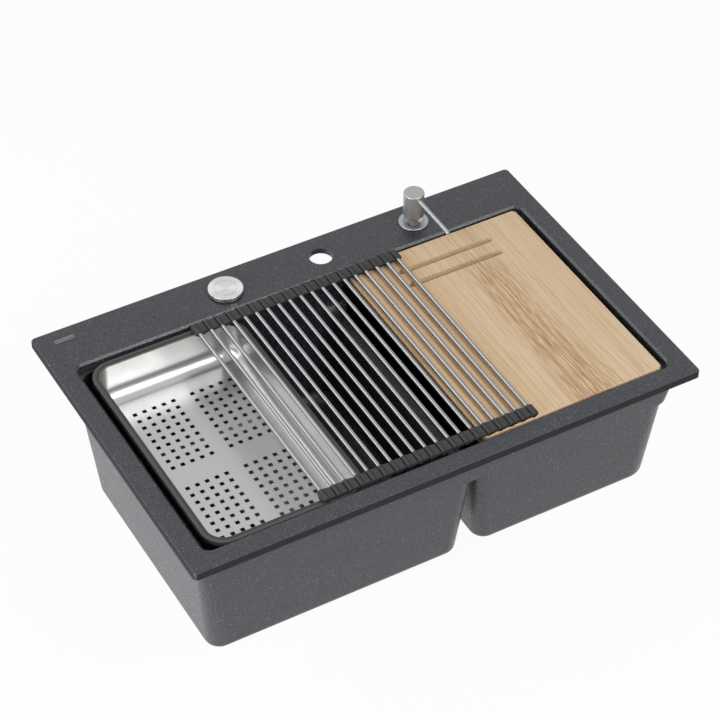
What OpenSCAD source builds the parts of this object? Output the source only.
// Workstation kitchen sink with a colander, a roll-up drying mat, a cutting board,
// two lifting wastes worked by one knob, and a soap dispenser.
// The worktop's surface is z = 0, with the sink hanging through its cut-out.
// +X is to the right, +Y to the back and +Z up, seen by someone standing at the sink.

/* [Rim] */
// Overall width of the rim
rim_w = 780; // [740:10:860]
// Overall depth of the rim, front to back
rim_d = 510; // [490:5:560]
// Height of the rim above the worktop
rim_t = 11.5; // [10:0.5:16]
// Plan radius of the rim's corners
rim_corner_r = 7; // [6:0.5:14]
// Rounding of the rim's upper edge
rim_edge_r = 2.5; // [1:0.5:3]
// Width of the rim at the left, the right and the front
border_w = 28; // [26:1:34]
// Depth of the tap deck at the back
deck_d = 80; // [76:1:95]
// Thickness of the tap deck
deck_t = 9.5; // [8.5:0.5:10]
// Width of the lip that stands on the worktop
lip_w = 10; // [8:0.5:10.5]

/* [Ledges] */
// Plan radius of the recess below its softened edge
recess_r = 12; // [8:1:18]
// Width and height of the softened edge round the recess
recess_soft = 3; // [1:0.5:3.5]
// Depth of the upper ledge below the rim's top
upper_ledge_depth = 10.5; // [8:0.5:12]
// Width of the upper ledge
upper_ledge_w = 2.5; // [2:0.5:4]
// Step down from the upper ledge to the lower one
ledge_step = 2; // [1:0.5:4]
// Width of the lower ledge
lower_ledge_w = 5; // [4:0.5:8]

/* [Bowls] */
// Height of the basin, from the rim's top to its underside
basin_h = 210; // [180:5:230]
// Thickness of the bowl floors
floor_t = 10; // [8:0.5:14]
// Thickness of the bowl walls at the floor
wall_t = 9; // [7:0.5:12]
// Rim edge to the outer wall at the left
skirt_left_in = 16.6; // [16:0.2:20]
// Rim edge to the outer wall of the right bowl
skirt_right_in = 23; // [21:0.5:26]
// Rim edge to the outer wall at the front
skirt_front_in = 16.9; // [16:0.2:20]
// Rim edge to the outer wall of the bowls at the back
skirt_back_in = 83; // [81:0.5:88]
// How far the collar below the recess stands out at the right and the back
collar_out = 8; // [7:0.5:10]
// Place of the divider, right of the middle
divider_x = 45.4; // [-20:0.1:60]
// Overlap of the two outer bowls at the rim's top
bowls_lap = 10.6; // [8:0.2:14]
// Depth of the divider's crest below the rim's top
crest_depth = 56; // [40:1:80]
// Width of the crest
crest_w = 18; // [14:1:24]
// Sideways lean of the crest
crest_lean = -2.4; // [-4:0.1:4]
// Radius that blends the crest into the front and back walls
crest_blend_r = 22; // [10:1:26]
// Radius of the outer edge round the underside
base_fillet_r = 14; // [8:1:18]
// Radius of the cove round each bowl's floor
floor_cove_r = 25; // [15:1:30]
// Plan radius of the outer front corners
front_corner_r = 23; // [19:1:28]
// Plan radius of the outer back corners
back_corner_r = 34; // [26:1:40]
// Plan radius of the bowls' inner corners at the ledges
inner_top_r = 20; // [14:1:26]
// Plan radius of the bowls' inner corners at the floor
inner_floor_r = 34; // [31:1:40]

/* [Deck holes] */
// Diameter of the tap hole and of the two holes beside it
deck_hole_d = 35; // [34:0.5:36]
// Place of the tap hole, right of the middle
tap_x = 49.2; // [20:0.2:60]
// Rim's back edge to the middle of the tap hole
tap_back = 42.5; // [39:0.5:45]
// Spacing of the three holes along the deck
deck_pitch = 155.5; // [110:0.5:160]
// Rim's back edge to the middle of the knob
knob_back = 45; // [39:0.5:46]
// Rim's back edge to the dispenser's axis
pump_back = 41; // [39:0.5:43]

/* [Seal] */
// Width of the sealing strip under the rim
seal_w = 5; // [4:0.5:6]

/* [Waste] */
// Place of both wastes behind the middle
waste_y = 10; // [-20:1:20]
// Diameter of the hole in the floor
waste_hole_d = 92; // [90:1:94]
// Width of the waste's flange round the hole
flange_w = 12; // [10:0.5:15]
// Sheet thickness of the flange and its cup
flange_t = 1.5; // [1:0.1:2]
// Depth of the seat in the floor
seat_depth = 3; // [2.5:0.5:4]
// Depth of the cup below the seat
cup_depth = 34; // [26:1:40]
// Diameter of the drain cover
cover_d = 136; // [120:1:140]
// Thickness of the drain cover
cover_t = 3; // [2.5:0.1:4]
// Height that the cover lifts
cover_lift = 10; // [6:1:14]
// Thickness of the rubber seal below the cover
plug_seal_t = 3; // [2.5:0.5:4]
// Diameter of the lifting stem
stem_d = 8; // [6:0.5:9]
// Thickness of the gasket below the floor
waste_gasket_t = 3; // [2:0.5:4]
// Wall thickness of the waste body
waste_wall = 3; // [2.5:0.5:4]
// Outer diameter of the outlet
outlet_d = 48; // [44:1:50]
// Length of the outlet's straight end
outlet_l = 26; // [20:1:36]

/* [Knob] */
// Diameter of the knob
knob_d = 50.6; // [46:0.2:54]
// Height of the knob's top above the deck
knob_h = 8; // [6:0.5:12]
// Diameter of the ring line on the knob's face
knob_ring_d = 31.8; // [24:0.2:36]
// Turn of the knob from closed to open, in degrees
knob_turn = 90; // [60:5:120]
// Length of the knob's housing below the deck
housing_l = 46; // [36:1:60]

/* [Colander] */
// Width of the colander's frame
colander_w = 234.8; // [200:0.2:260]
// Left wall of the recess to the frame
colander_left_gap = 11.2; // [5:0.2:16]
// Play of the frame between the ledges, front to back
colander_play = 3.2; // [1:0.2:4]
// Width of the frame's ring
frame_ring_w = 7.8; // [7:0.2:10]
// Height of the frame
frame_h = 8; // [7:0.5:10]
// Plan radius of the frame's corners
frame_r = 34; // [28:1:40]
// Sheet thickness of the tray
tray_t = 1; // [0.8:0.1:1.5]
// Depth of the tray's floor below the frame's top
tray_depth = 62.5; // [50:0.5:64]
// Radius of the bend round the tray's floor
tray_bend_r = 24; // [10:1:25]
// Width of the square drain holes
hole_w = 6.2; // [4:0.2:7]
// Spacing of the holes, both ways
hole_pitch = 14.8; // [13:0.1:15]
// Spacing of the groups of holes across
group_pitch_x = 88.8; // [84:0.1:92]
// Spacing of the groups of holes front to back
group_pitch_y = 162.7; // [150:0.1:170]
// Place of the holes' middle, right of the tray's middle
holes_x = 2.8; // [-3:0.1:3]
// Place of the holes' middle, behind the tray's middle
holes_y = -3.8; // [-6:0.1:6]

/* [Mat] */
// Number of rods
rod_count = 19; // [15:1:19]
// Spacing of the rods
rod_pitch = 17.73; // [16:0.01:18]
// Diameter of a rod
rod_d = 6; // [5:0.2:6.4]
// Place of the mat's middle, right of the sink's middle
mat_x = -18.4; // [-30:0.1:0]
// Lean of the mat, from the colander's frame up over the board, in degrees
mat_lean = 0.7; // [0.66:0.02:0.9]
// Thickness of the silicone strips at a rod
strip_t = 7.6; // [6.6:0.1:9]
// Depth of a strip, front to back, at a rod
strip_d = 20; // [18:0.5:24]
// Strip beyond the first and the last rod
strip_end = 6; // [5:0.5:8]

/* [Board] */
// Width of the cutting board
board_w = 287.6; // [260:0.2:290]
// Right wall of the recess to the board
board_right_gap = 8.6; // [2:0.2:12]
// Play of the board between the ledges, front to back
board_play = 2; // [1:0.2:4]
// Thickness of the board
board_t = 20; // [16:0.5:24]
// Thickness of the board's lips on the ledges
board_lip_t = 10; // [8:0.5:11]
// Depth of the rabbet under each lip
board_rabbet = 7.5; // [7:0.5:12]
// Plan radius of the board's corners
board_r = 8; // [6:0.5:14]
// Rounding of the board's upper edge
board_edge_r = 2.5; // [1:0.5:3]
// Length of the two grooves
groove_l = 156; // [100:1:180]
// Width of the grooves
groove_w = 9.4; // [6:0.2:12]
// Depth of the grooves
groove_d = 7; // [6:0.5:9]
// Place of the grooves' middle, right of the board's middle
groove_x = 1.6; // [-10:0.1:10]
// Back edge of the board to the middle of the rear groove
groove_back = 41.4; // [30:0.2:60]
// Spacing of the grooves
groove_pitch = 31; // [24:0.5:40]

/* [Dispenser] */
// Diameter of the flange on the deck
pump_flange_d = 44; // [42:1:50]
// Height of the flange above the deck
pump_flange_h = 3; // [2.6:0.1:4]
// Diameter of the pump head
head_d = 30.6; // [26:0.2:31]
// Height of the head's top above the deck
head_top = 56; // [48:1:64]
// Height of the head's lower edge above the deck
head_low = 16; // [15.5:0.5:20]
// Diameter of the neck below the head
neck_d = 14; // [11:0.5:15]
// Height of the neck's upper end above the deck
neck_top = 7; // [6:0.5:9]
// Diameter of the spout
spout_d = 5.6; // [5:0.2:8]
// Height of the spout above the deck
spout_h = 50; // [40:0.5:52]
// Reach of the spout from the pump's axis
spout_reach = 97; // [70:1:110]
// Stroke of the pump
stroke = 12; // [6:1:12]
// Diameter of the soap bottle
bottle_d = 58; // [50:1:58]
// Height of the soap bottle
bottle_h = 130; // [90:5:150]
// Wall thickness of the soap bottle
bottle_wall = 2; // [1.5:0.1:3]

/* [Hidden] */
$fn = 64;
hull_fn = 32;
overrun = 1;
// Clearance of a piece that only stands near another
free_gap = 0.3;
// Clearance of a piece that is held in another of its own body
held_gap = 0.1;
rim_x = rim_w / 2;
rim_y = rim_d / 2;
under_z = rim_t - deck_t;
recess_front = border_w - rim_y;
recess_back = rim_y - deck_d;
recess_x = rim_x - border_w;
wall_x = recess_x - recess_soft;
wall_front = recess_front + recess_soft;
wall_back = recess_back - recess_soft;
upper_z = rim_t - upper_ledge_depth;
lower_z = upper_z - ledge_step;
gap_front = wall_front + upper_ledge_w;
gap_back = wall_back - upper_ledge_w;
bowl_front = gap_front + lower_ledge_w;
bowl_back = gap_back - lower_ledge_w;
base_z = rim_t - basin_h;
floor_z = base_z + floor_t;
crest_z = rim_t - crest_depth;
// Sideways run of the drafted outer walls for each unit of depth
draft_share = 0.0875;
function run(z) = (rim_t - z) * draft_share;
// Outer walls at the rim's top
out_left = skirt_left_in - rim_x;
out_right = rim_x - skirt_right_in;
out_front = skirt_front_in - rim_y;
out_back = rim_y - skirt_back_in;
left_bowl_right = divider_x + bowls_lap / 2;
right_bowl_left = divider_x - bowls_lap / 2;
// The collar stands this much proud of the bowls' walls
collar_proud = 0.3;
collar_z = rim_t - (bowls_lap / 2) / draft_share;
crest_left = divider_x + crest_lean - crest_w / 2;
crest_right = crest_left + crest_w;
// Inner walls at the floor
in_left = out_left + run(floor_z) + wall_t;
in_right = out_right - run(floor_z) - wall_t;
in_front = out_front + run(floor_z) + wall_t;
in_back = out_back - run(floor_z) - wall_t;
in_left_bowl = left_bowl_right - run(floor_z) - wall_t;
in_right_bowl = right_bowl_left + run(floor_z) + wall_t;
function at_top(low, crest) = low + (crest - low) * (lower_z - floor_z) / (crest_z - floor_z);
deck_hole_r = deck_hole_d / 2;
flange_d = waste_hole_d + 2 * flange_w;
tap_y = rim_y - tap_back;
knob_x = tap_x - deck_pitch;
knob_y = rim_y - knob_back;
pump_x = tap_x + deck_pitch;
pump_y = rim_y - pump_back;
left_waste_x = (in_left + in_left_bowl) / 2;
right_waste_x = (in_right_bowl + in_right) / 2;

// Flat outline of a rectangle with round corners
module round_rect(x0, x1, y0, y1, r) {
    translate([x0 + r, y0]) square([x1 - x0 - 2 * r, y1 - y0]);
    translate([x0, y0 + r]) square([x1 - x0, y1 - y0 - 2 * r]);
    for (x = [x0 + r, x1 - r], y = [y0 + r, y1 - r]) translate([x, y]) circle(r = r);
}

// Slab with round corners in plan, from z0 to z1
module slab(x0, x1, y0, y1, z0, z1, r) {
    translate([0, 0, z0]) linear_extrude(height = z1 - z0) round_rect(x0, x1, y0, y1, r);
}

// Slab whose upper edge is rounded by the radius e
module soft_slab(x0, x1, y0, y1, z0, z1, r, e) {
    slab(x0, x1, y0, y1, z0, z1 - e, r);
    slab(x0 + e, x1 - e, y0 + e, y1 - e, z0, z1, r - e);
    for (y = [y0 + e, y1 - e]) {
        translate([x0 + r, y, z1 - e]) rotate([0, 90, 0]) cylinder(r = e, h = x1 - x0 - 2 * r);
    }
    for (x = [x0 + e, x1 - e]) {
        translate([x, y0 + r, z1 - e]) rotate([-90, 0, 0]) cylinder(r = e, h = y1 - y0 - 2 * r);
    }
    for (x = [x0 + r, x1 - r], y = [y0 + r, y1 - r]) translate([x, y, z1 - e]) {
        if (r < 2 * e) {
            rotate_extrude() intersection() {
                translate([r - e, 0]) circle(r = e);
                translate([0, -e]) square([r, 2 * e]);
            }
        } else {
            rotate_extrude() translate([r - e, 0]) circle(r = e);
        }
    }
}

// The same with its lower edge rounded
module soft_pan(x0, x1, y0, y1, z0, z1, r, e) {
    mirror([0, 0, 1]) soft_slab(x0, x1, y0, y1, -z1, -z0, r, e);
}

// Frustum that widens upwards by its own height, with round corners
module flare(x0, x1, y0, y1, z0, h, r) {
    translate([0, y1 - r, z0]) rotate([90, 0, 0]) linear_extrude(height = y1 - y0 - 2 * r)
        polygon([[x0, 0], [x1, 0], [x1 + h, h], [x0 - h, h]]);
    translate([x0 + r, 0, z0]) rotate([90, 0, 90]) linear_extrude(height = x1 - x0 - 2 * r)
        polygon([[y0, 0], [y1, 0], [y1 + h, h], [y0 - h, h]]);
    for (x = [x0 + r, x1 - r], y = [y0 + r, y1 - r]) {
        translate([x, y, z0]) cylinder(r1 = r, r2 = r + h, h = h);
    }
}

// Ring of rectangular section round the z axis
module ring(r_in, r_out, z0, z1) {
    translate([0, 0, z0]) difference() {
        cylinder(r = r_out, h = z1 - z0);
        translate([0, 0, -overrun]) cylinder(r = r_in, h = z1 - z0 + 2 * overrun);
    }
}

// One round corner of a bowl's floor, with the radius e between floor and wall
module floor_corner(r, e) {
    rotate_extrude($fn = hull_fn) intersection() {
        translate([r - e, 0]) circle(r = e, $fn = hull_fn);
        translate([0, -e]) square([r, 2 * e]);
    }
}

// Upper corner of a bowl, a short upright cylinder
module top_corner(r, h) {
    cylinder(r = r, h = h, $fn = hull_fn);
}

// Outer shape of one bowl, drafted from the worktop's surface down to its underside.
// The radii are those of the front left, front right, back left and back right corners.
module outer_bowl(x0, x1, fl, fr, bl, br) {
    top = run(0);
    low = run(base_z);
    y0 = out_front;
    y1 = out_back;
    hull() {
        translate([x0 + top + fl, y0 + top + fl, 0]) top_corner(fl, under_z + overrun);
        translate([x1 - top - fr, y0 + top + fr, 0]) top_corner(fr, under_z + overrun);
        translate([x0 + top + bl, y1 - top - bl, 0]) top_corner(bl, under_z + overrun);
        translate([x1 - top - br, y1 - top - br, 0]) top_corner(br, under_z + overrun);
        translate([x0 + low + fl, y0 + low + fl, base_z + base_fillet_r]) floor_corner(fl, base_fillet_r);
        translate([x1 - low - fr, y0 + low + fr, base_z + base_fillet_r]) floor_corner(fr, base_fillet_r);
        translate([x0 + low + bl, y1 - low - bl, base_z + base_fillet_r]) floor_corner(bl, base_fillet_r);
        translate([x1 - low - br, y1 - low - br, base_z + base_fillet_r]) floor_corner(br, base_fillet_r);
    }
}

// Collar that joins both bowls below the rim and carries the recess
module bowl_collar() {
    top = run(0) - collar_proud;
    low = run(collar_z) - collar_proud;
    hull() {
        for (z = [0, 1]) {
            in = z == 0 ? top : low;
            out = z == 0 ? collar_out : 0;
            r = front_corner_r;
            x1 = out_right + out - in;
            y1 = out_back + out - in;
            zc = z == 0 ? 0 : collar_z;
            translate([out_left + in + r, out_front + in + r, zc]) top_corner(r, under_z + overrun);
            translate([x1 - r, out_front + in + r, zc]) top_corner(r, under_z + overrun);
            translate([out_left + in + r, y1 - r, zc]) top_corner(r, under_z + overrun);
            translate([x1 - r, y1 - r, zc]) top_corner(r, under_z + overrun);
        }
    }
}

// Hollow of one bowl, from the ledges down to its floor
module inner_bowl(top_x0, top_x1, low_x0, low_x1) {
    r = inner_top_r;
    f = inner_floor_r;
    z = floor_z + floor_cove_r;
    hull() {
        for (x = [top_x0 + r, top_x1 - r], y = [bowl_front + r, bowl_back - r]) {
            translate([x, y, lower_z]) top_corner(r, ledge_step + overrun);
        }
        for (x = [low_x0 + f, low_x1 - f], y = [in_front + f, in_back - f]) {
            translate([x, y, z]) floor_corner(f, floor_cove_r);
        }
    }
}

// Space over the divider's crest, with round ends that run up the front and back walls
module crest_space() {
    r = crest_blend_r;
    front_slope = (in_front - bowl_front) / (lower_z - floor_z);
    back_slope = (bowl_back - in_back) / (lower_z - floor_z);
    cz = crest_z + r;
    y0 = bowl_front + front_slope * (lower_z - cz) + r * sqrt(1 + front_slope * front_slope) + free_gap;
    y1 = bowl_back - back_slope * (lower_z - cz) - r * sqrt(1 + back_slope * back_slope) - free_gap;
    translate([crest_left - r, 0, 0]) rotate([90, 0, 90]) linear_extrude(height = crest_w + 2 * r) hull() {
        for (y = [y0, y1]) translate([y, cz]) circle(r = r, $fn = 2 * hull_fn);
        translate([bowl_front + free_gap, lower_z]) square([bowl_back - bowl_front - 2 * free_gap, ledge_step / 2]);
    }
}

module sink_basin() color([0.24, 0.25, 0.26]) {
    difference() {
        union() {
            difference() {
                soft_slab(-rim_x, rim_x, -rim_y, rim_y, 0, rim_t, rim_corner_r, rim_edge_r);
                slab(lip_w - rim_x, rim_x - lip_w, lip_w - rim_y, rim_y - lip_w, -overrun, under_z, rim_corner_r / 2);
            }
            outer_bowl(out_left, left_bowl_right, front_corner_r, front_corner_r, back_corner_r, back_corner_r);
            outer_bowl(right_bowl_left, out_right, front_corner_r, back_corner_r, front_corner_r, back_corner_r);
            bowl_collar();
        }
        flare(-wall_x, wall_x, wall_front, wall_back, rim_t - recess_soft, recess_soft + overrun, recess_r);
        slab(-wall_x, wall_x, wall_front, wall_back, upper_z, rim_t - recess_soft + overrun, recess_r);
        slab(-wall_x, wall_x, gap_front, gap_back, lower_z, upper_z + overrun, recess_r);
        inner_bowl(-wall_x, at_top(in_left_bowl, crest_left), in_left, in_left_bowl);
        inner_bowl(at_top(in_right_bowl, crest_right), wall_x, in_right_bowl, in_right);
        crest_space();
        for (x = [left_waste_x, right_waste_x]) translate([x, waste_y, 0]) {
            translate([0, 0, floor_z - seat_depth]) {
                cylinder(d = flange_d + 2 * free_gap, h = seat_depth + overrun);
            }
            translate([0, 0, base_z - overrun]) cylinder(d = waste_hole_d, h = floor_t + 2 * overrun);
        }
        for (p = [[knob_x, knob_y], [tap_x, tap_y], [pump_x, pump_y]]) {
            translate([p[0], p[1], under_z - overrun]) cylinder(r = deck_hole_r, h = deck_t + 2 * overrun);
        }
    }
}

// Foam strip in the hollow behind the rim's lip
module perimeter_seal() color([0.1, 0.1, 0.1]) {
    a = lip_w + free_gap;
    b = a + seal_w;
    difference() {
        slab(a - rim_x, rim_x - a, a - rim_y, rim_y - a, 0, under_z, rim_corner_r / 2);
        slab(b - rim_x, rim_x - b, b - rim_y, rim_y - b, -overrun, under_z + overrun, rim_corner_r / 4);
    }
}

// Heights of the waste, from the seat in the floor downwards
seat_z = floor_z - seat_depth;
cup_z = seat_z - cup_depth;
cup_r = waste_hole_d / 2 - overrun;
seal_z = seat_z + flange_t;
cover_z = seal_z + plug_seal_t;
body_flange_z = base_z - waste_gasket_t;
body_r = cup_r + 2 * waste_wall;
hub_r = 1.4 * stem_d;
bolt_r = stem_d;
hub_z = cup_z - 2 * bolt_r;
shoulder_z = hub_z - waste_wall;
hub_low = shoulder_z - 2 * waste_wall;
outlet_z = shoulder_z - outlet_d / 2;

// Steel flange with its cup, drained by holes round the middle
module waste_flange(x) color("silver") translate([x, waste_y, 0]) {
    difference() {
        union() {
            translate([0, 0, seat_z]) cylinder(d = flange_d, h = flange_t);
            translate([0, 0, cup_z]) cylinder(r = cup_r, h = cup_depth);
        }
        translate([0, 0, cup_z + flange_t]) cylinder(r = cup_r - flange_t, h = cup_depth + overrun);
        translate([0, 0, cup_z - overrun]) cylinder(r = bolt_r + held_gap, h = flange_t + 2 * overrun);
        for (a = [0 : 36 : 359]) rotate([0, 0, a]) translate([0.62 * cup_r, 0, cup_z - overrun]) {
            cylinder(r = cup_r / 9, h = flange_t + 2 * overrun);
        }
    }
}

module waste_gasket(x) color([0.12, 0.12, 0.12]) translate([x, waste_y, 0]) {
    ring(waste_hole_d / 2, flange_d / 2, body_flange_z, base_z);
}

// Waste body with its outlet, the hub for the bolt and the cable's inlet at the back
module waste_body(x) color([0.85, 0.86, 0.87]) translate([x, waste_y, 0]) {
    w = waste_wall;
    outlet_r = outlet_d / 2;
    gland_z = (body_flange_z + cup_z) / 2;
    difference() {
        union() {
            translate([0, 0, body_flange_z - w]) cylinder(d = flange_d, h = w);
            translate([0, 0, cup_z - bolt_r]) cylinder(r = body_r, h = body_flange_z - cup_z + bolt_r);
            translate([0, 0, shoulder_z]) cylinder(r1 = outlet_r + w, r2 = body_r, h = cup_z - bolt_r - shoulder_z);
            translate([0, 0, outlet_z]) cylinder(r = outlet_r + w, h = shoulder_z - outlet_z);
            translate([0, 0, outlet_z - outlet_l]) cylinder(r = outlet_r, h = outlet_l);
            translate([0, 0, gland_z]) rotate([-90, 0, 0]) cylinder(r = bolt_r, h = body_r + 2 * bolt_r);
        }
        translate([0, 0, cup_z - bolt_r]) cylinder(r = body_r - w, h = body_flange_z - cup_z + bolt_r + overrun);
        translate([0, 0, shoulder_z]) {
            cylinder(r1 = outlet_r - w, r2 = body_r - w, h = cup_z - bolt_r - shoulder_z);
        }
        translate([0, 0, outlet_z - outlet_l - overrun]) {
            cylinder(r = outlet_r - w, h = shoulder_z - outlet_z + outlet_l + 2 * overrun);
        }
        translate([0, body_r - 2 * w, gland_z]) rotate([-90, 0, 0]) {
            cylinder(r = bolt_r / 2, h = 2 * w + 2 * bolt_r + overrun);
        }
    }
    difference() {
        union() {
            translate([0, 0, hub_low]) cylinder(r = hub_r, h = cup_z - hub_low);
            for (a = [30, 150, 270]) rotate([0, 0, a]) translate([0, -w / 2, hub_low]) {
                cube([outlet_r, w, hub_z - hub_low]);
            }
        }
        translate([0, 0, hub_low - overrun]) cylinder(r = bolt_r, h = cup_z - hub_low + 2 * overrun);
    }
}

// Hollow bolt that clamps the flange to the body and guides the lifting stem
module waste_screw(x) color("gainsboro") translate([x, waste_y, 0]) {
    difference() {
        union() {
            translate([0, 0, cup_z + flange_t]) cylinder(r = 1.6 * bolt_r, h = bolt_r / 2);
            translate([0, 0, hub_z]) cylinder(r = bolt_r - held_gap, h = cup_z + flange_t - hub_z);
        }
        translate([0, 0, hub_z - overrun]) {
            cylinder(r = stem_d / 2 + free_gap, h = cup_z - hub_z + flange_t + bolt_r);
        }
    }
}

// Round cover, slightly domed, with a ring line near its edge and its lifting stem
module drain_cover(x) color([0.22, 0.22, 0.23]) translate([x, waste_y, 0]) {
    r = cover_d / 2;
    e = cover_t / 2;
    difference() {
        union() {
            translate([0, 0, cover_z]) cylinder(r = r - e, h = cover_t);
            translate([0, 0, cover_z + e]) rotate_extrude() translate([r - e, 0]) circle(r = e);
            translate([0, 0, hub_z - cover_lift]) cylinder(d = stem_d, h = cover_z - hub_z + cover_lift);
        }
        translate([0, 0, cover_z + cover_t]) rotate_extrude() {
            translate([r - 3 * e, 0]) square([e / 2, e / 2], center = true);
        }
    }
}

module plug_seal(x) color([0.1, 0.1, 0.1]) translate([x, waste_y, 0]) {
    ring(cup_r - 3 * plug_seal_t, cup_r + plug_seal_t, seal_z, cover_z);
}

module left_waste_flange() waste_flange(left_waste_x);
module left_waste_gasket() waste_gasket(left_waste_x);
module left_waste_body() waste_body(left_waste_x);
module left_waste_screw() waste_screw(left_waste_x);
module left_drain_cover() drain_cover(left_waste_x);
module left_plug_seal() plug_seal(left_waste_x);
module right_waste_flange() waste_flange(right_waste_x);
module right_waste_gasket() waste_gasket(right_waste_x);
module right_waste_body() waste_body(right_waste_x);
module right_waste_screw() waste_screw(right_waste_x);
module right_drain_cover() drain_cover(right_waste_x);
module right_plug_seal() plug_seal(right_waste_x);

// The knob's parts, measured from the deck
pad_t = 0.6;
base_t = 1;
sleeve_r = deck_hole_r - 2 * free_gap;
spindle_r = knob_d / 8;
nut_h = sleeve_r / 2;

module control_knob() color([0.75, 0.76, 0.77]) translate([knob_x, knob_y, rim_t]) {
    r = knob_d / 2;
    e = 0.03 * knob_d;
    low = pad_t + base_t + free_gap;
    difference() {
        union() {
            translate([0, 0, low]) cylinder(r = r, h = knob_h - e - low);
            translate([0, 0, low]) cylinder(r = r - e, h = knob_h - low);
            translate([0, 0, knob_h - e]) rotate_extrude() translate([r - e, 0]) circle(r = e);
            translate([0, 0, -housing_l / 2]) cylinder(r = spindle_r, h = housing_l / 2 + knob_h / 2);
        }
        translate([0, 0, knob_h]) rotate_extrude() {
            translate([knob_ring_d / 2, 0]) square([e, e / 2], center = true);
        }
    }
}

module knob_gasket() color([0.1, 0.1, 0.1]) translate([knob_x, knob_y, rim_t]) {
    ring(deck_hole_r, 0.94 * knob_d / 2, 0, pad_t);
}

// Housing of the turning mechanism, with the cable's outlet at the back
module knob_housing() color([0.16, 0.16, 0.17]) translate([knob_x, knob_y, rim_t]) {
    box_z = -deck_t - nut_h - pad_t;
    difference() {
        union() {
            translate([0, 0, pad_t]) cylinder(r = 0.94 * knob_d / 2, h = base_t);
            translate([0, 0, box_z]) cylinder(r = sleeve_r, h = pad_t - box_z);
            translate([0, 0, -housing_l]) cylinder(r = 1.2 * sleeve_r, h = housing_l + box_z);
            translate([0, 0, (box_z - housing_l) / 2]) rotate([-90, 0, 0]) {
                cylinder(r = spindle_r, h = 1.2 * sleeve_r + 2 * spindle_r);
            }
        }
        translate([0, 0, -housing_l / 2 - spindle_r]) {
            cylinder(r = spindle_r + free_gap, h = housing_l + spindle_r);
        }
    }
}

// Nut below the deck, with finger notches round it
module deck_nut(x, y, bore_r) translate([x, y, under_z - nut_h]) {
    difference() {
        cylinder(r = bore_r + nut_h, h = nut_h);
        translate([0, 0, -overrun]) cylinder(r = bore_r, h = nut_h + 2 * overrun);
        for (a = [0 : 45 : 359]) rotate([0, 0, a]) translate([bore_r + 1.1 * nut_h, 0, -overrun]) {
            cylinder(r = nut_h / 3, h = nut_h + 2 * overrun);
        }
    }
}

module knob_nut() color([0.2, 0.2, 0.21]) deck_nut(knob_x, knob_y, sleeve_r + held_gap);

// Colander, on the lower ledges at the left
colander_x0 = colander_left_gap - wall_x;
colander_x1 = colander_x0 + colander_w;
colander_y0 = gap_front + free_gap;
colander_y1 = colander_y0 + gap_back - gap_front - colander_play;
frame_top = lower_z + frame_h;
lip_z = lower_z + frame_h / 2;
tray_x0 = colander_x0 + frame_ring_w;
tray_x1 = colander_x1 - frame_ring_w;
tray_y0 = colander_y0 + frame_ring_w;
tray_y1 = colander_y1 - frame_ring_w;
tray_r = frame_r - frame_ring_w;
tray_lip = frame_ring_w / 2;
tray_z = frame_top - tray_depth;

// Ring with a groove inside it that holds the tray's lip
module colander_frame() color([0.33, 0.33, 0.34]) {
    e = frame_h / 8;
    s = tray_lip;
    difference() {
        soft_slab(colander_x0, colander_x1, colander_y0, colander_y1, lower_z, frame_top, frame_r, e);
        slab(tray_x0, tray_x1, tray_y0, tray_y1, lower_z - overrun, frame_top + overrun, tray_r);
        slab(tray_x0 - s, tray_x1 + s, tray_y0 - s, tray_y1 + s, lip_z, lip_z + tray_t, tray_r + s);
    }
}

// Outline of the four groups of square holes, round the tray's middle
module hole_pattern() {
    for (gx = [-0.5, 0.5], gy = [-0.5, 0.5], i = [-2 : 2], j = [-4 : 4]) {
        x = holes_x + gx * group_pitch_x + i * hole_pitch;
        y = holes_y + gy * group_pitch_y + j * hole_pitch;
        translate([x, y]) square(hole_w, center = true);
    }
}

// Pressed tray, with its holes in the flat of the floor
module colander_tray() color([0.72, 0.73, 0.74]) {
    t = tray_t;
    s = tray_lip;
    b = min(tray_bend_r, tray_r - t);
    flat = [tray_x1 - tray_x0 - 2 * b - 2 * t, tray_y1 - tray_y0 - 2 * b - 2 * t];
    difference() {
        union() {
            soft_pan(tray_x0, tray_x1, tray_y0, tray_y1, tray_z, lip_z + t, tray_r, b);
            slab(tray_x0 - s, tray_x1 + s, tray_y0 - s, tray_y1 + s, lip_z, lip_z + t, tray_r + s);
        }
        soft_pan(tray_x0 + t, tray_x1 - t, tray_y0 + t, tray_y1 - t, tray_z + t, frame_top, tray_r - t, b - t);
        translate([(tray_x0 + tray_x1) / 2, (tray_y0 + tray_y1) / 2, tray_z - overrun]) {
            linear_extrude(height = t + 2 * overrun) square(flat, center = true);
        }
    }
    translate([(tray_x0 + tray_x1) / 2, (tray_y0 + tray_y1) / 2, tray_z]) {
        linear_extrude(height = t) difference() {
            square(flat, center = true);
            hole_pattern();
        }
    }
}

// Cutting board, with its lips on the lower ledges at the right
board_x1 = wall_x - board_right_gap;
board_x0 = board_x1 - board_w;
board_y1 = gap_back - board_play / 4;
board_y0 = gap_front + 3 * board_play / 4;
board_top = lower_z + board_lip_t;
board_low = board_top - board_t;

// Blind groove along x with round ends and a round floor, round the middle of its mouth
module groove() {
    r = groove_w / 2;
    half = groove_l / 2 - r;
    translate([-half, -r, r - groove_d]) cube([2 * half, groove_w, groove_d - r + overrun]);
    translate([-half, 0, r - groove_d]) rotate([0, 90, 0]) cylinder(r = r, h = 2 * half);
    for (s = [-1, 1]) translate([s * half, 0, r - groove_d]) {
        sphere(r = r);
        cylinder(r = r, h = groove_d - r + overrun);
    }
}

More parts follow.
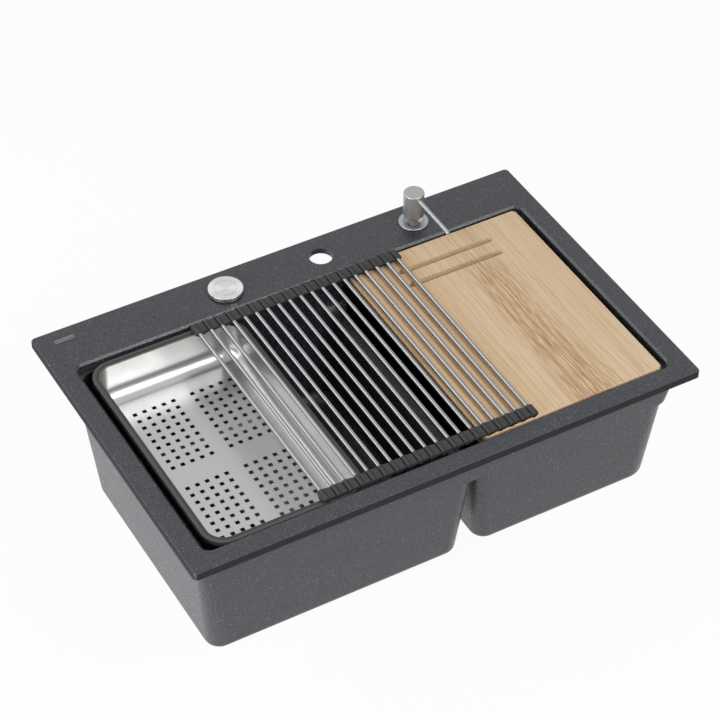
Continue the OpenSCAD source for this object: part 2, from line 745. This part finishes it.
module cutting_board() color([0.85, 0.74, 0.58]) {
    difference() {
        union() {
            soft_slab(board_x0, board_x1, board_y0, board_y1, lower_z, board_top, board_r, board_edge_r);
            slab(board_x0, board_x1, board_y0 + board_rabbet, board_y1 - board_rabbet,
                board_low, board_top - board_edge_r, board_r);
        }
        for (i = [0, 1]) {
            x = (board_x0 + board_x1) / 2 + groove_x;
            translate([x, board_y1 - groove_back - i * groove_pitch, board_top]) groove();
        }
    }
}

// Roll-up mat, lying on the colander's frame and leaning up over the board.
// It is drawn level, from its first rod to its last, and then leant.
mat_gap = 0.2;
mat_z = frame_top + mat_gap + strip_t / 2;
mat_x0 = mat_x - (rod_count - 1) / 2 * rod_pitch;
mat_y0 = gap_front + board_play / 4;
mat_y1 = board_y1 - board_play / 2;
rod_in = strip_d / 7;
web_t = 5 * strip_t / 7;

module leant() {
    translate([mat_x0, 0, mat_z]) rotate([0, -mat_lean, 0]) translate([-mat_x0, 0, -mat_z]) children();
}

module mat_rods() color([0.82, 0.83, 0.84]) leant() {
    for (i = [0 : rod_count - 1]) translate([mat_x0 + i * rod_pitch, mat_y0 + rod_in, mat_z]) {
        rotate([-90, 0, 0]) cylinder(d = rod_d, h = mat_y1 - mat_y0 - 2 * rod_in);
    }
}

// Section of a strip, a flat web with a sleeve round each rod
module strip_section() {
    x1 = mat_x0 + (rod_count - 1) * rod_pitch;
    translate([mat_x0 - strip_end, -web_t / 2]) square([x1 - mat_x0 + 2 * strip_end, web_t]);
    for (i = [0 : rod_count - 1]) translate([mat_x0 + i * rod_pitch, 0]) circle(d = strip_t);
}

// Strip from y0 to y0 + strip_d, with its rod holes open on the side of the mat's middle
module mat_strip(y0, hole_y0, hole_y1) {
    bulge = strip_d / 14;
    difference() {
        union() {
            translate([0, y0 + strip_d - bulge, mat_z]) rotate([90, 0, 0]) {
                linear_extrude(height = strip_d - 2 * bulge) strip_section();
            }
            for (i = [0 : rod_count - 1]) translate([mat_x0 + i * rod_pitch, y0, mat_z]) {
                rotate([-90, 0, 0]) cylinder(d = strip_t, h = strip_d);
            }
        }
        for (i = [0 : rod_count - 1]) translate([mat_x0 + i * rod_pitch, hole_y0, mat_z]) {
            rotate([-90, 0, 0]) cylinder(d = rod_d + held_gap, h = hole_y1 - hole_y0);
        }
    }
}

module mat_strip_front() color([0.17, 0.17, 0.18]) leant() {
    mat_strip(mat_y0, mat_y0 + rod_in, mat_y0 + strip_d + overrun);
}

module mat_strip_back() color([0.17, 0.17, 0.18]) leant() {
    mat_strip(mat_y1 - strip_d, mat_y1 - strip_d - overrun, mat_y1 - rod_in);
}

// The dispenser's parts, measured from the deck
head_r = head_d / 2;
neck_r = neck_d / 2;
cup_in_r = head_r + free_gap;
cap_t = 1.5 * free_gap;
cup_low = neck_top - stroke - free_gap - cap_t;
barrel_r = neck_r + 8 * free_gap;
barrel_wall = 4 * free_gap;
barrel_low = cup_low - 5.5 * stroke;
bottle_top = -deck_t - nut_h - 2 * free_gap;
tube_r = deck_hole_r / 5;
tube_bore = tube_r / 2;

// Collar through the deck, with a cup in its flange that takes the head when it is pressed
module pump_collar() color([0.75, 0.76, 0.77]) translate([pump_x, pump_y, rim_t]) {
    r = pump_flange_d / 2;
    e = pump_flange_h / 3;
    low = bottle_top - 2 * nut_h;
    difference() {
        union() {
            translate([0, 0, pad_t]) cylinder(r = r, h = pump_flange_h - pad_t - e);
            translate([0, 0, pad_t]) cylinder(r = r - e, h = pump_flange_h - pad_t);
            translate([0, 0, pump_flange_h - e]) rotate_extrude() translate([r - e, 0]) circle(r = e);
            translate([0, 0, low]) cylinder(r = sleeve_r, h = pump_flange_h - low - e);
        }
        translate([0, 0, cup_low]) cylinder(r = cup_in_r, h = pump_flange_h - cup_low + overrun);
        translate([0, 0, low - overrun]) cylinder(r = barrel_r + free_gap, h = cup_low - low + 2 * overrun);
    }
}

module pump_gasket() color([0.1, 0.1, 0.1]) translate([pump_x, pump_y, rim_t]) {
    ring(deck_hole_r, 0.94 * pump_flange_d / 2, 0, pad_t);
}

module pump_nut() color([0.2, 0.2, 0.21]) deck_nut(pump_x, pump_y, sleeve_r + held_gap);

// Soap bottle, screwed on the collar below its nut
module soap_bottle() color([0.9, 0.9, 0.88]) translate([pump_x, pump_y, rim_t + bottle_top]) {
    w = bottle_wall;
    r = bottle_d / 2;
    neck = sleeve_r + held_gap;
    neck_h = nut_h;
    e = r / 4;
    difference() {
        union() {
            translate([0, 0, -neck_h - overrun]) cylinder(r = neck + w, h = neck_h + overrun);
            soft_round(r, -bottle_h, -neck_h, e);
        }
        translate([0, 0, -neck_h - w - overrun]) cylinder(r = neck, h = neck_h + w + 2 * overrun);
        soft_round(r - w, w - bottle_h, -neck_h - w, e - w);
    }
}

// Upright cylinder with both its edges rounded
module soft_round(r, z0, z1, e) {
    translate([0, 0, z0 + e]) cylinder(r = r, h = z1 - z0 - 2 * e);
    translate([0, 0, z0]) cylinder(r = r - e, h = z1 - z0);
    for (z = [z0 + e, z1 - e]) translate([0, 0, z]) rotate_extrude() translate([r - e, 0]) circle(r = e);
}

// Barrel that hangs in the collar, open at the top for the neck
module pump_cylinder() color([0.92, 0.92, 0.9]) translate([pump_x, pump_y, rim_t]) {
    inner = barrel_r - barrel_wall;
    difference() {
        union() {
            translate([0, 0, cup_low]) cylinder(r = cup_in_r - free_gap, h = cap_t);
            translate([0, 0, barrel_low]) cylinder(r = barrel_r, h = cup_low - barrel_low + cap_t);
            translate([0, 0, barrel_low - 2 * tube_r]) cylinder(r = tube_r + barrel_wall, h = 2 * tube_r);
        }
        translate([0, 0, barrel_low + barrel_wall]) {
            cylinder(r = inner, h = cup_low - barrel_low + overrun);
        }
        translate([0, 0, barrel_low - 2 * tube_r - overrun]) {
            cylinder(r = tube_r, h = 2 * tube_r + overrun);
        }
        translate([0, 0, barrel_low - overrun]) cylinder(r = tube_bore, h = 2 * overrun + barrel_wall);
    }
}

// Plastic tube from the barrel to the bottle's floor
module dip_tube() color([0.93, 0.93, 0.93]) translate([pump_x, pump_y, rim_t]) {
    low = bottle_top - bottle_h + 2 * bottle_wall;
    translate([0, 0, low]) difference() {
        cylinder(r = tube_r - held_gap, h = barrel_low - low);
        translate([0, 0, -overrun]) cylinder(r = tube_bore, h = barrel_low - low + 2 * overrun);
    }
}

// Neck of the head, running down to the piston
piston_z = cup_low - stroke;
module pump_piston() color([0.75, 0.76, 0.77]) translate([pump_x, pump_y, rim_t]) {
    inner = barrel_r - barrel_wall - free_gap;
    difference() {
        union() {
            translate([0, 0, piston_z]) cylinder(r = neck_r, h = neck_top - piston_z);
            translate([0, 0, piston_z - stroke / 2]) cylinder(r = inner, h = stroke / 2);
        }
        translate([0, 0, piston_z - stroke]) cylinder(r = tube_bore, h = neck_top - piston_z + 2 * stroke);
    }
}

// Head with its tapered skirt, bored for the spout
module pump_head() color([0.78, 0.79, 0.8]) translate([pump_x, pump_y, rim_t]) {
    e = 0.05 * head_d;
    difference() {
        union() {
            translate([0, 0, neck_top]) cylinder(r1 = neck_r, r2 = head_r, h = head_low - neck_top);
            translate([0, 0, head_low]) cylinder(r = head_r, h = head_top - e - head_low);
            translate([0, 0, head_low]) cylinder(r = head_r - e, h = head_top - head_low);
            translate([0, 0, head_top - e]) rotate_extrude() translate([head_r - e, 0]) circle(r = e);
        }
        translate([0, 0, spout_h]) rotate([90, 0, 0]) cylinder(d = spout_d + held_gap, h = head_d);
        translate([0, 0, neck_top - overrun]) cylinder(r = tube_bore, h = spout_h - neck_top + overrun);
    }
}

// Spout, a straight tube whose end is turned down a little
module pump_spout() color([0.78, 0.79, 0.8]) translate([pump_x, pump_y, rim_t + spout_h]) {
    bend_r = 2 * spout_d;
    bend_a = 30;
    start = spout_d / 2;
    straight = spout_reach - bend_r * sin(bend_a);
    difference() {
        union() {
            translate([0, -start, 0]) rotate([90, 0, 0]) cylinder(d = spout_d, h = straight - start);
            translate([0, -straight, -bend_r]) rotate([0, -90, 180]) {
                rotate_extrude(angle = bend_a) translate([bend_r, 0]) circle(d = spout_d);
            }
        }
        translate([0, -start + overrun, 0]) rotate([90, 0, 0]) cylinder(d = spout_d / 2, h = straight - start);
    }
}

// Return spring in the barrel, one wire of round curls that closes up at its ends
spring_turns = 7;
spring_wire = 1.2;
spring_r = barrel_r - barrel_wall - free_gap - spring_wire / 2 - held_gap;
spring_z0 = barrel_low + barrel_wall + spring_wire / 2;
spring_z1 = piston_z - stroke / 2 - spring_wire / 2;
spring_steps = 8 * spring_turns;
spring_sides = 6;
function spring_point(i) = [
    spring_r * cos(360 * i / 8),
    spring_r * sin(360 * i / 8),
    spring_z0 + (spring_z1 - spring_z0) * i / spring_steps
];
function spring_ring(i) = [
    for (k = [0 : spring_sides - 1])
        let (
            p = spring_point(i),
            a = 360 * i / 8,
            b = 360 * k / spring_sides,
            r = spring_r + spring_wire / 2 * cos(b)
        )
        [r * cos(a), r * sin(a), p[2] + spring_wire / 2 * sin(b)]
];
spring_gap = min([
    for (i = [0 : spring_steps - 8]) norm(spring_point(i + 8) - spring_point(i)) - spring_wire
]);
echo(least_gap_between_the_curls_of_the_spring = spring_gap);

module pump_spring() color("silver") translate([pump_x, pump_y, rim_t]) {
    n = spring_sides;
    m = spring_steps;
    points = [for (i = [0 : m]) each spring_ring(i)];
    sides = [
        for (i = [0 : m - 1], k = [0 : n - 1])
            let (a = i * n + k, b = i * n + (k + 1) % n)
            each [[a, a + n, b], [b, a + n, b + n]]
    ];
    ends = [
        for (k = [1 : n - 2]) each [[0, k, k + 1], [m * n, m * n + k + 1, m * n + k]]
    ];
    polyhedron(points = points, faces = concat(sides, ends));
}

sink_basin();
perimeter_seal();
left_waste_flange();
left_waste_gasket();
left_waste_body();
left_waste_screw();
left_drain_cover();
left_plug_seal();
right_waste_flange();
right_waste_gasket();
right_waste_body();
right_waste_screw();
right_drain_cover();
right_plug_seal();
control_knob();
knob_gasket();
knob_housing();
knob_nut();
colander_frame();
colander_tray();
mat_rods();
mat_strip_front();
mat_strip_back();
cutting_board();
pump_collar();
pump_gasket();
pump_nut();
soap_bottle();
pump_cylinder();
pump_spring();
dip_tube();
pump_piston();
pump_head();
pump_spout();
